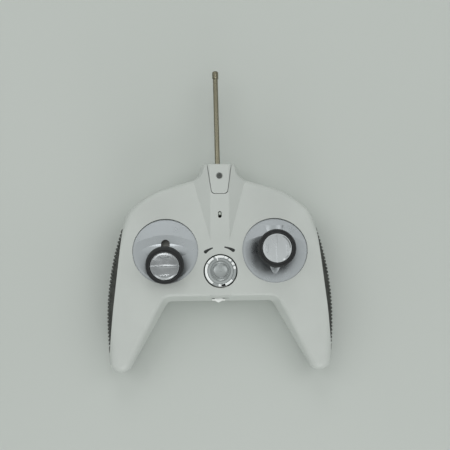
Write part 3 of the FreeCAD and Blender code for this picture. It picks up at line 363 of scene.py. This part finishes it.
NODE_FINISH = {
    Finish.HOUSING: ["front_shell", "rear_shell", "battery_door", "antenna_cover"],
    Finish.GRIP: ["left_side_grip", "right_side_grip"],
    Finish.RING: ["left_knob_ring", "right_knob_ring"],
    Finish.DISH: ["left_stick_dish", "right_stick_dish"],
    Finish.CAP: ["left_knob_cap", "right_knob_cap"],
    # The hidden dial nodes carry the dial aluminium with painted highlight.
    Finish.DIAL: ["trim_dial", "trim_dial_cap"],
    Finish.BLACK_ACETAL: ["left_stick", "right_stick", "left_gimbal_frame", "right_gimbal_frame",
                          "left_stick_pot", "right_stick_pot", "trim_pot_body", "antenna_socket",
                          "board_components"],
    Finish.SWITCH: ["power_switch_button"],
    Finish.ANTENNA: ["antenna_base_tube", "antenna_second_tube", "antenna_third_tube", "antenna_rod",
                     "antenna_tip"],
    # antenna_cover_screw wears steel darkened with painted shade of its recess.
    Finish.SCREW: ["antenna_cover_screw"],
    Finish.STEEL: ["housing_screws", "board_screws", "left_gimbal_screws",
                   "right_gimbal_screws", "left_friction_spring", "right_centring_spring",
                   "power_switch_body", "trim_pot_shaft", "battery_plate_contacts",
                   "battery_spring_contacts"],
    Finish.LENS: ["light_lens", "light_base"],
    Finish.BOARD: ["main_circuit_board"],
    Finish.CELL: ["battery_cells"],
    Finish.LEAD: ["battery_leads", "antenna_lead"],
}


def dress(piece: bpy.types.Object, finish: Finish) -> None:
    """Give a piece one finish in its only material slot.

    Args:
        piece: the object.
        finish: its finish.
    """
    piece.data.materials.clear()
    piece.data.materials.append(finish.material())


def dress_nodes() -> None:
    """Give every node of the frame its finish."""
    for finish, names in NODE_FINISH.items():
        for name in names:
            dress(frame["nodes"][name], finish)
            LOG.info("%s in %s", name, finish.value.name)


# ------------------------------------------------------------------ modelling helpers
def joint_place(name: str) -> Vector:
    """Look up where a joint of the frame lies.

    Args:
        name: the joint's name.

    Returns:
        Its place, in metres.
    """
    for joint in frame["record"]["behaviour"]["joints"]:
        if joint["name"] == name:
            return Vector(joint["pos_m"])
    raise KeyError(name)


def begin_edit(piece: bpy.types.Object) -> None:
    """Open one piece in edit mode with all of it selected.

    Args:
        piece: the mesh object.
    """
    bpy.ops.object.select_all(action="DESELECT")
    piece.select_set(True)
    bpy.context.view_layer.objects.active = piece
    bpy.ops.object.mode_set(mode="EDIT")
    bpy.ops.mesh.select_all(action="SELECT")


def settle(piece: bpy.types.Object, place: Vector = Vector(), turn: tuple = (0.0, 0.0, 0.0)) -> None:
    """Move a piece to its place in the frame and bake that into its mesh.

    Args:
        piece: the mesh object, modelled about the world origin.
        place: where its origin goes.
        turn: its rotation in radians about X, Y and Z.
    """
    bpy.ops.object.select_all(action="DESELECT")
    piece.select_set(True)
    bpy.context.view_layer.objects.active = piece
    piece.location = place
    piece.rotation_euler = turn
    bpy.ops.object.transform_apply(location=True, rotation=True, scale=True)


def soften(piece: bpy.types.Object, width: float, angle: float = 30.0) -> None:
    """Bevel a piece's sharp edges and shade it smooth by angle.

    Args:
        piece: the mesh object.
        width: the bevel's width in metres.
        angle: the sharpest angle in degrees that stays as it is.
    """
    bpy.ops.object.select_all(action="DESELECT")
    piece.select_set(True)
    bpy.context.view_layer.objects.active = piece
    bevel = piece.modifiers.new("edges", "BEVEL")
    bevel.width = width
    bevel.segments = 2
    bevel.limit_method = "ANGLE"
    bevel.angle_limit = math.radians(angle)
    bpy.ops.object.modifier_apply(modifier=bevel.name)
    bpy.ops.object.shade_smooth_by_angle(angle=math.radians(angle))


def carve(piece: bpy.types.Object, cutter: bpy.types.Object) -> None:
    """Cut one closed piece out of another and remove the cutter.

    Args:
        piece: the mesh that is cut.
        cutter: the mesh that cuts.
    """
    bpy.ops.object.select_all(action="DESELECT")
    bpy.context.view_layer.objects.active = piece
    cut = piece.modifiers.new("cut", "BOOLEAN")
    cut.object = cutter
    cut.solver = "EXACT"
    bpy.ops.object.modifier_apply(modifier=cut.name)
    bpy.data.objects.remove(cutter)


def block(name: str, size: tuple, place: tuple, taper: float = 1.0) -> bpy.types.Object:
    """Model a block whose top is larger or smaller than its foot.

    Args:
        name: the piece's name.
        size: its length along X, Y and Z.
        place: the middle of its foot.
        taper: the top's size over the foot's.

    Returns:
        The new mesh object.
    """
    bpy.ops.object.select_all(action="DESELECT")
    bpy.ops.mesh.primitive_plane_add(size=1, location=place)
    piece = bpy.context.object
    piece.name = name
    piece.scale = (size[0], size[1], 1)
    bpy.ops.object.transform_apply(location=True, rotation=True, scale=True)
    begin_edit(piece)
    bpy.ops.mesh.extrude_region_move(TRANSFORM_OT_translate={"value": (0, 0, size[2])})
    top = (place[0], place[1], place[2] + size[2])
    bpy.ops.transform.resize(value=(taper, taper, 1), center_override=top)
    bpy.ops.mesh.select_all(action="SELECT")
    bpy.ops.mesh.normals_make_consistent(inside=False)
    bpy.ops.object.mode_set(mode="OBJECT")
    return piece


def join(name: str, pieces: list[bpy.types.Object]) -> bpy.types.Object:
    """Join several pieces into one object.

    Args:
        name: the joined object's name.
        pieces: the mesh objects.

    Returns:
        The joined object.
    """
    bpy.ops.object.select_all(action="DESELECT")
    for piece in pieces:
        piece.select_set(True)
    bpy.context.view_layer.objects.active = pieces[0]
    bpy.ops.object.join()
    pieces[0].name = name
    return pieces[0]


@dataclass
class Turning:
    """A round stepped piece, grown upwards and inwards from one disc, step by step."""

    name: str
    radius: float
    height: float
    sides: int = 96
    piece: Optional[bpy.types.Object] = None

    def start(self) -> "Turning":
        """Lay the first disc and open it in edit mode.

        Returns:
            This turning.
        """
        bpy.ops.object.select_all(action="DESELECT")
        bpy.ops.mesh.primitive_circle_add(vertices=self.sides, radius=self.radius, fill_type="NGON",
                                          location=(0, 0, self.height))
        self.piece = bpy.context.object
        self.piece.name = self.name
        bpy.ops.object.transform_apply(location=True, rotation=True, scale=True)
        begin_edit(self.piece)
        return self

    def step(self, radius: float, height: float) -> "Turning":
        """Grow the selected face to a new radius and height.

        Args:
            radius: the new radius.
            height: the new height.

        Returns:
            This turning.
        """
        bpy.ops.mesh.extrude_region_move(TRANSFORM_OT_translate={"value": (0, 0, height - self.height)})
        factor = radius / self.radius
        bpy.ops.transform.resize(value=(factor, factor, 1), center_override=(0, 0, height))
        self.radius = radius
        self.height = height
        return self

    def close(self) -> bpy.types.Object:
        """Leave edit mode with every normal facing out.

        Returns:
            The finished mesh object.
        """
        bpy.ops.mesh.select_all(action="SELECT")
        bpy.ops.mesh.normals_make_consistent(inside=False)
        bpy.ops.object.mode_set(mode="OBJECT")
        return self.piece


# ------------------------------------------------------------------ sticks
class Side(Enum):
    """The two sticks: the left one moves up and down, the right one moves across."""

    LEFT = "left"
    RIGHT = "right"


@dataclass
class KnobCap:
    """The metallised disc on a stick's head: a bright rim and two shallow halves with a groove."""

    side: Side
    tilt_degrees: float
    turn_degrees: float
    radius: float = 10.95 * MM
    floor: float = 31.6 * MM
    top: float = 33.28 * MM
    rim: float = 0.9 * MM
    face_radius: float = 9.3 * MM
    half_slope_degrees: float = 2.2
    groove: float = 0.55 * MM
    edge: float = 0.35 * MM
    face_drop: float = 0.22 * MM
    notch: tuple = (5.4 * MM, 1.1 * MM, 1.4 * MM)
    notch_y: float = 7.2 * MM
    dash: tuple = (1.1 * MM, 0.8 * MM, 1.4 * MM)
    dash_y: float = -7.4 * MM
    dash_pitch: float = 2.1 * MM

    def build(self) -> bpy.types.Object:
        """Model the cap upright about the pivot and lean it with its stick.

        Returns:
            The cap.
        """
        turning = Turning(self.side.value + "_cap_disc", self.radius, self.floor).start()
        turning.step(self.radius, self.top - self.edge).step(self.radius - self.edge, self.top)
        turning.step(self.radius - self.rim, self.top)
        turning.step(self.face_radius, self.top - self.face_drop)
        self.slope_halves(turning)
        cap = turning.close()
        carve(cap, block("groove_cutter", (2 * self.face_radius, self.groove, 1.2 * MM),
                         (0, 0, self.top - 0.75 * MM), 1.3))
        carve(cap, block("notch_cutter", self.notch, (0, self.notch_y, self.top - 1.0 * MM), 1.25))
        for number in (-1, 0, 1):
            foot = (number * self.dash_pitch, self.dash_y, self.top - 0.95 * MM)
            carve(cap, block("dash_cutter", self.dash, foot, 1.2))
        soften(cap, 0.07 * MM, 28)
        place = joint_place(self.side.value + "_stick_tilt")
        settle(cap, Vector(), (0, 0, math.radians(self.turn_degrees)))
        settle(cap, place, (math.radians(self.tilt_degrees), 0, 0))
        return cap

    def slope_halves(self, turning: Turning) -> None:
        """Split the middle face along X and let each half fall away from the split.

        Args:
            turning: the cap, open in edit mode with its middle face selected.
        """
        height = turning.height
        bpy.ops.mesh.bisect(plane_co=(0, 0, height), plane_no=(0, 1, 0))
        bpy.ops.object.mode_set(mode="OBJECT")
        mesh = turning.piece.data
        for way in (1, -1):
            for polygon in mesh.polygons:
                flat = polygon.normal.z > 0.99 or polygon.normal.z < -0.99
                high = abs(polygon.center.z - height) < 0.01 * MM
                polygon.select = flat and high and polygon.center.y * way > 0.5 * MM
            bpy.ops.object.mode_set(mode="EDIT")
            bpy.ops.transform.rotate(value=math.radians(self.half_slope_degrees) * way, orient_axis="X",
                                     center_override=(0, 0, height))
            bpy.ops.object.mode_set(mode="OBJECT")
        begin_edit(turning.piece)

    def dress(self) -> None:
        """Build the cap, finish it and let it ride on its stick."""
        cap = self.build()
        dress(cap, Finish.CAP)
        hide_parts(self.side.value + "_knob_cap")
        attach(cap, self.side.value + "_stick_set")
        LOG.info("%s cap: %d faces", self.side.value, len(cap.data.polygons))


# ------------------------------------------------------------------ trim dial
@dataclass
class TrimDial:
    """The trim dial: a stepped wheel, a scale of raised arcs, a pointer and a hub; the arcs and pointer have
    a painted highlight and the wheel has a painted shade of the same aluminium.
    """

    radius: float = 12.05 * MM
    scale_inner: float = 9.9 * MM
    scale_outer: float = 11.75 * MM
    depth: float = 5.0 * MM
    # Each step's radius and its height over the scale, in mm: rim, scale land, band, ring, hub.
    profile: tuple = ((12.05, -0.75), (11.75, -0.35), (9.8, -0.3), (9.5, -0.75), (7.7, -0.75),
                      (7.5, -1.5), (7.0, -1.5), (6.9, -0.2), (6.6, 0.0), (6.2, 0.0), (5.9, -0.3),
                      (5.8, -1.3), (5.3, -1.3), (5.25, -0.5), (4.6, -0.25), (2.0, 0.15), (0.3, 0.3))
    arcs: tuple = ((111, 147), (152, 185), (190, 232), (237, 285), (290, 318), (322, 372))
    pads: tuple = ((18, 29), (36, 48), (55, 67), (74, 88))
    pointer_degrees: float = 104.5
    pointer_inner: float = 7.6 * MM
    pointer_width: float = 1.1 * MM
    pointer_height: float = 0.85 * MM
    pointer_sunk: float = 0.8 * MM
    clearance: float = 0.05 * MM

    def build_wheel(self, top: float) -> bpy.types.Object:
        """Model the wheel with its two steps, its inner ring and its hub.

        Args:
            top: the height of the scale.

        Returns:
            The wheel.
        """
        turning = Turning("trim_wheel", self.radius, top - self.depth).start()
        for radius, rise in self.profile:
            turning.step(radius * MM, top + rise * MM)
        wheel = turning.close()
        carve(wheel, block("hub_notch", (1.7 * MM, 5.0 * MM, 1.6 * MM),
                           (0, 2.5 * MM, top - 0.85 * MM), 1.15))
        soften(wheel, 0.08 * MM)
        return wheel

    def build_arc(self, start: float, end: float, top: float, name: str) -> bpy.types.Object:
        """Spin one raised arc of the scale.

        Args:
            start: the angle in degrees where it starts.
            end: the angle in degrees where it ends.
            top: its height.
            name: its name.

        Returns:
            The arc.
        """
        width = self.scale_outer - self.scale_inner
        bpy.ops.object.select_all(action="DESELECT")
        bpy.ops.mesh.primitive_plane_add(size=1, location=(self.scale_inner + width / 2, 0,
                                                           top - 0.25 * MM),
                                         rotation=(math.pi / 2, 0, 0))
        arc = bpy.context.object
        arc.name = name
        arc.scale = (width, 0.5 * MM, 1)
        bpy.ops.object.transform_apply(location=True, rotation=True, scale=True)
        begin_edit(arc)
        bpy.ops.transform.rotate(value=-math.radians(start), orient_axis="Z", center_override=(0, 0, 0))
        steps = max(3, round((end - start) / 3))
        bpy.ops.mesh.spin(steps=steps, angle=math.radians(end - start), center=(0, 0, 0),
                          axis=(0, 0, 1))
        bpy.ops.mesh.select_all(action="SELECT")
        bpy.ops.mesh.remove_doubles(threshold=0.001 * MM)
        bpy.ops.mesh.normals_make_consistent(inside=False)
        bpy.ops.object.mode_set(mode="OBJECT")
        soften(arc, 0.16 * MM)
        return arc

    def dress(self) -> None:
        """Build the dial, finish it and let it ride on its joint."""
        place = joint_place("trim_dial_turn")
        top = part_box("trim_dial")[1].z - self.clearance
        wheel = self.build_wheel(top)
        raised = [self.build_arc(start, end, top + 0.02 * MM, "scale_arc")
                  for start, end in self.arcs + self.pads]
        middle = (self.scale_outer + self.pointer_inner) / 2
        length = self.scale_outer - self.pointer_inner
        bar = block("dial_pointer", (length, self.pointer_width, self.pointer_height),
                    (middle, 0, top - self.pointer_sunk), 0.8)
        soften(bar, 0.12 * MM)
        settle(bar, Vector(), (0, 0, math.radians(self.pointer_degrees)))
        scale = join("trim_scale", raised + [bar])
        # The wheel gets the aluminium with painted shade; the scale arcs and pointer get the same aluminium
        # with painted highlight.
        for piece, finish in ((wheel, Finish.DIAL_BODY), (scale, Finish.DIAL)):
            settle(piece, Vector((place.x, place.y, 0)))
            dress(piece, finish)
            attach(piece, "trim_dial_set")
        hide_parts("trim_dial", "trim_dial_cap")
        LOG.info("trim dial: %d and %d faces", len(wheel.data.polygons), len(scale.data.polygons))


# ------------------------------------------------------------------ printed arrows
@dataclass
class PrintedArrow:
    """A printed sweep above the dial that thickens into a blunt head."""

    name: str
    start_degrees: float
    sweep_degrees: float
    radius: float = 18.3 * MM
    film: float = 0.04 * MM
    gap: float = 0.005 * MM
    dial_proud: float = 0.5 * MM
    tail_width: float = 1.0 * MM
    head_width: float = 3.0 * MM
    steps: int = 9

    def dress(self) -> None:
        """Grow the sweep section by section on the face and finish it in ink."""
        place = joint_place("trim_dial_turn")
        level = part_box("trim_dial")[1].z - self.dial_proud + self.gap
        bpy.ops.object.select_all(action="DESELECT")
        bpy.ops.mesh.primitive_plane_add(size=1, location=(self.radius, 0, level + self.film / 2),
                                         rotation=(math.pi / 2, 0, 0))
        sweep = bpy.context.object
        sweep.name = self.name
        sweep.scale = (self.tail_width, self.film, 1)
        bpy.ops.object.transform_apply(location=True, rotation=True, scale=True)
        begin_edit(sweep)
        bpy.ops.transform.rotate(value=-math.radians(self.start_degrees), orient_axis="Z",
                                 center_override=(0, 0, 0))
        width = self.tail_width
        for number in range(1, self.steps + 1):
            share = number / self.steps
            wanted = self.tail_width + (self.head_width - self.tail_width) * share ** 1.5
            if number == self.steps:
                wanted = self.head_width * 0.45
            angle = self.start_degrees + self.sweep_degrees * share
            bpy.ops.mesh.extrude_region_move(TRANSFORM_OT_translate={"value": (0, 0, 0)})
            bpy.ops.transform.rotate(value=-math.radians(self.sweep_degrees / self.steps),
                                     orient_axis="Z", center_override=(0, 0, 0))
            centre = (self.radius * math.cos(math.radians(angle)),
                      self.radius * math.sin(math.radians(angle)), level + self.film / 2)
            bpy.ops.transform.resize(value=(wanted / width, wanted / width, 1), center_override=centre)
            width = wanted
        bpy.ops.mesh.select_all(action="SELECT")
        bpy.ops.mesh.normals_make_consistent(inside=False)
        bpy.ops.object.mode_set(mode="OBJECT")
        settle(sweep, Vector((place.x, place.y, 0)))
        dress(sweep, Finish.INK)
        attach(sweep, "housing")
        LOG.info("%s: %d faces", self.name, len(sweep.data.polygons))


# ------------------------------------------------------------------ stage
@dataclass
class Studio:
    """Pale floor, four soft lamps, a ringed dome of light and the camera."""

    eye: Vector = field(default_factory=lambda: Vector((-17, -73.2, 636)) * MM)
    aim: Vector = field(default_factory=lambda: Vector((3.8, -7.0, 36)) * MM)
    lens_mm: float = 64.0
    roll_degrees: float = -0.75
    floor_size: float = 6.0
    # Each lamp's name, place, side and power, in metres and watts.
    lamps: tuple = (("left_lamp", (-0.75, 0.3, 0.95), 0.6, 1.5), ("right_lamp", (0.75, 0.3, 0.95), 0.6, 1.5),
                    ("front_lamp", (0.1, -1.1, 0.42), 0.6, 4.0), ("back_lamp", (-0.1, 0.95, 0.85), 0.5, 1.8))
    dome: tuple = ((0.0, 0.8), (0.35, 0.6), (0.62, 0.34), (0.78, 0.55), (0.9, 1.0))
    lean: tuple = (-0.1, 0.2, 0.0)

    def build(self) -> None:
        """Build the whole stage."""
        self.floor()
        for lamp in self.lamps:
            self.lamp(*lamp)
        self.world()
        self.camera()

    def floor(self) -> None:
        """Lay the plain floor just under the part."""
        bpy.ops.mesh.primitive_plane_add(size=self.floor_size, location=(0, 0, -0.02 * MM))
        plane = bpy.context.object
        plane.name = "studio_floor"
        material, tree, output = new_material("studio_floor_paint")
        where = add_node(tree, "TexCoord")
        tone = add_node(tree, "TexNoise", {"Scale": 3.0}, {"Vector": where.outputs["Object"]})
        ramp = add_node(tree, "ValToRGB", {}, {"Fac": tone.outputs["Fac"]})
        ramp.color_ramp.elements[0].color = linear("BEC4BF")
        ramp.color_ramp.elements[1].color = linear("C5CAC6")
        shader = add_node(tree, "BsdfPrincipled", {"Roughness": 0.9},
                          {"Base Color": ramp.outputs["Color"]})
        tree.links.new(shader.outputs["BSDF"], output.inputs["Surface"])
        plane.data.materials.append(material)

    def lamp(self, name: str, place: tuple[float, float, float], size: float, power: float) -> None:
        """Hang one square area lamp that faces the part.

        Args:
            name: the lamp's name.
            place: its centre.
            size: the side of its square.
            power: its power in watts.
        """
        light = bpy.data.lights.new(name, "AREA")
        light.shape = "SQUARE"
        light.size = size
        light.energy = power
        holder = bpy.data.objects.new(name, light)
        bpy.context.scene.collection.objects.link(holder)
        holder.location = place
        holder.rotation_euler = (-Vector(place)).to_track_quat("-Z", "Y").to_euler()

    def world(self) -> None:
        """Light the surroundings softly in rings: bright overhead, dim halfway down, and brighter
        again near the horizon, with more of it from the antenna's side."""
        world = bpy.data.worlds.new("studio_world")
        bpy.context.scene.world = world
        world.use_nodes = True
        tree = world.node_tree
        background = tree.nodes["Background"]
        where = add_node(tree, "TexCoord")
        parts = add_node(tree, "SeparateXYZ", {}, {"Vector": where.outputs["Generated"]})
        rings = add_node(tree, "ValToRGB", {}, {"Fac": parts.outputs["Z"]})
        for height, level in self.dome[2:]:
            rings.color_ramp.elements.new(height)
        for element, (height, level) in zip(rings.color_ramp.elements, self.dome):
            element.position = height
            element.color = (level, level, level, 1.0)
        side = add_node(tree, "VectorMath", {"operation": "DOT_PRODUCT", 1: self.lean},
                        {0: where.outputs["Generated"]})
        share = add_node(tree, "Math", {"operation": "ADD", 1: 1.0}, {0: side.outputs["Value"]})
        level = add_node(tree, "Math", {"operation": "MULTIPLY"},
                         {0: rings.outputs["Color"], 1: share.outputs["Value"]})
        background.inputs["Color"].default_value = linear("F2F4F2")
        tree.links.new(level.outputs["Value"], background.inputs["Strength"])

    def camera(self) -> None:
        """Set up the camera from its eye and aim points."""
        data = bpy.data.cameras.new("camera")
        data.lens = self.lens_mm
        data.clip_start = 0.01
        camera = bpy.data.objects.new("camera", data)
        bpy.context.scene.collection.objects.link(camera)
        ahead = (self.aim - self.eye).normalized()
        across = ahead.cross(Vector((0, 1, 0))).normalized()
        turn = Matrix((across, across.cross(ahead), -ahead)).transposed().to_4x4()
        roll = Matrix.Rotation(math.radians(self.roll_degrees), 4, "Z")
        camera.matrix_world = Matrix.Translation(self.eye) @ turn @ roll
        bpy.context.scene.camera = camera


def main() -> None:
    """Build every sub-assembly in order and report it."""
    logging.basicConfig(level=logging.INFO, format="%(name)s: %(message)s")
    bpy.ops.object.select_all(action="DESELECT")
    bpy.context.scene.view_settings.view_transform = "Standard"
    dress_nodes()
    KnobCap(Side.LEFT, tilt_degrees=22.0, turn_degrees=0.0).dress()
    KnobCap(Side.RIGHT, tilt_degrees=0.0, turn_degrees=90.0).dress()
    TrimDial().dress()
    PrintedArrow("printed_arrow_right", 80.0, -26.0).dress()
    PrintedArrow("printed_arrow_left", 108.0, 23.0).dress()
    Studio().build()


if __name__ == "__main__":
    main()
